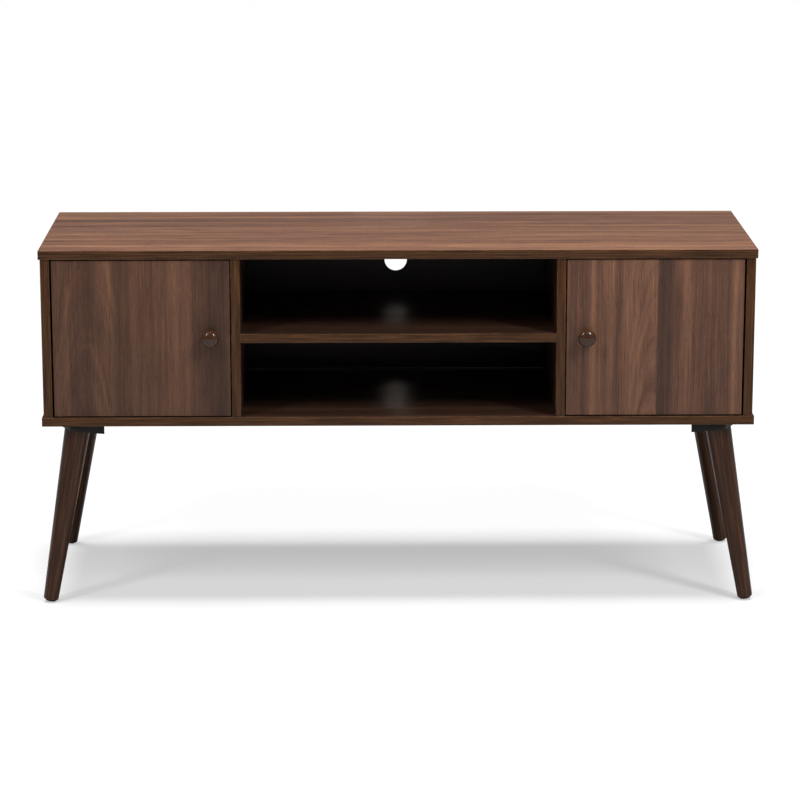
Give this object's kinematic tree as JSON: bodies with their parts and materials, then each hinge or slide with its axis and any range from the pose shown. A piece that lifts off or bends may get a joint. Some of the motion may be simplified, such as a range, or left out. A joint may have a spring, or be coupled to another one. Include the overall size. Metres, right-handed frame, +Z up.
{
  "type": "tv stand",
  "caption": "Low walnut-look TV stand with a hinged door at each end, an open centre bay with a shelf, cable holes in the back, and splayed tapered legs.",
  "frame": {"origin": "on the floor under the middle of the footprint, with the knobs counted in", "axes": "+Z up, -Y out of the front with the doors, +X to the right seen from the front"},
  "size_m": [1.2112, 0.4142, 0.609],
  "materials": {
    "laminate_top": "walnut wood-print laminate on particle board, satin",
    "laminate_upright": "walnut wood-print laminate on particle board, satin",
    "laminate_door": "walnut wood-print laminate with the grain upright, satin",
    "hardboard": "dark printed hardboard",
    "lacquered_wood": "dark brown stained solid wood, glossy lacquer",
    "bare_beech": "bare fluted beech dowel",
    "black_plastic": "moulded, fine matt texture",
    "catch_plastic": "moulded brown plastic, satin",
    "black_nylon": "moulded nylon",
    "ferrite": "sintered ferrite magnet, dull",
    "die_cast_zinc": "die-cast zinc, dull bright",
    "zinc_plated_steel": "bright zinc plating",
    "black_steel": "black oxide"
  },
  "bodies": {
    "cabinet": {"top_panel": "laminate_top", "bottom_panel": "laminate_top", "left_side_panel": "laminate_upright", "right_side_panel": "laminate_upright", "left_divider": "laminate_upright", "right_divider": "laminate_upright", "center_shelf": "laminate_upright", "back_panel": "hardboard", "back_nails": "zinc_plated_steel", "cam_locks": "die_cast_zinc", "cam_bolts": "zinc_plated_steel", "wood_dowels": "bare_beech", "shelf_screws": "zinc_plated_steel", "left_pivot_bushes": "black_nylon", "right_pivot_bushes": "black_nylon", "left_catch_case": "catch_plastic", "right_catch_case": "catch_plastic", "left_catch_magnet": "ferrite", "right_catch_magnet": "ferrite", "left_pole_plates": "zinc_plated_steel", "right_pole_plates": "zinc_plated_steel", "catch_screws": "zinc_plated_steel", "front_left_leg": "lacquered_wood", "front_right_leg": "lacquered_wood", "back_left_leg": "lacquered_wood", "back_right_leg": "lacquered_wood", "front_left_bracket": "black_plastic", "front_right_bracket": "black_plastic", "back_left_bracket": "black_plastic", "back_right_bracket": "black_plastic", "threaded_inserts": "zinc_plated_steel", "leg_bolts": "zinc_plated_steel", "bracket_screws": "black_steel", "front_left_glide": "black_plastic", "front_right_glide": "black_plastic", "back_left_glide": "black_plastic", "back_right_glide": "black_plastic"},
    "left_door": {"left_door": "laminate_door", "left_knob": "lacquered_wood", "left_knob_screw": "zinc_plated_steel", "left_pivot_pins": "zinc_plated_steel", "left_strike_plate": "zinc_plated_steel", "left_strike_screw": "zinc_plated_steel"},
    "right_door": {"right_door": "laminate_door", "right_knob": "lacquered_wood", "right_knob_screw": "zinc_plated_steel", "right_pivot_pins": "zinc_plated_steel", "right_strike_plate": "zinc_plated_steel", "right_strike_screw": "zinc_plated_steel"}
  },
  "joints": [
    {"name": "left_door_hinge", "type": "hinge", "parent": "cabinet", "child": "left_door", "pos_m": [-0.5685, -0.1735, 0.459], "axis": [0, 0, -1], "range_deg": [0, 110]},
    {"name": "right_door_hinge", "type": "hinge", "parent": "cabinet", "child": "right_door", "pos_m": [0.5685, -0.1735, 0.459], "axis": [0, 0, 1], "range_deg": [0, 110]}
  ]
}
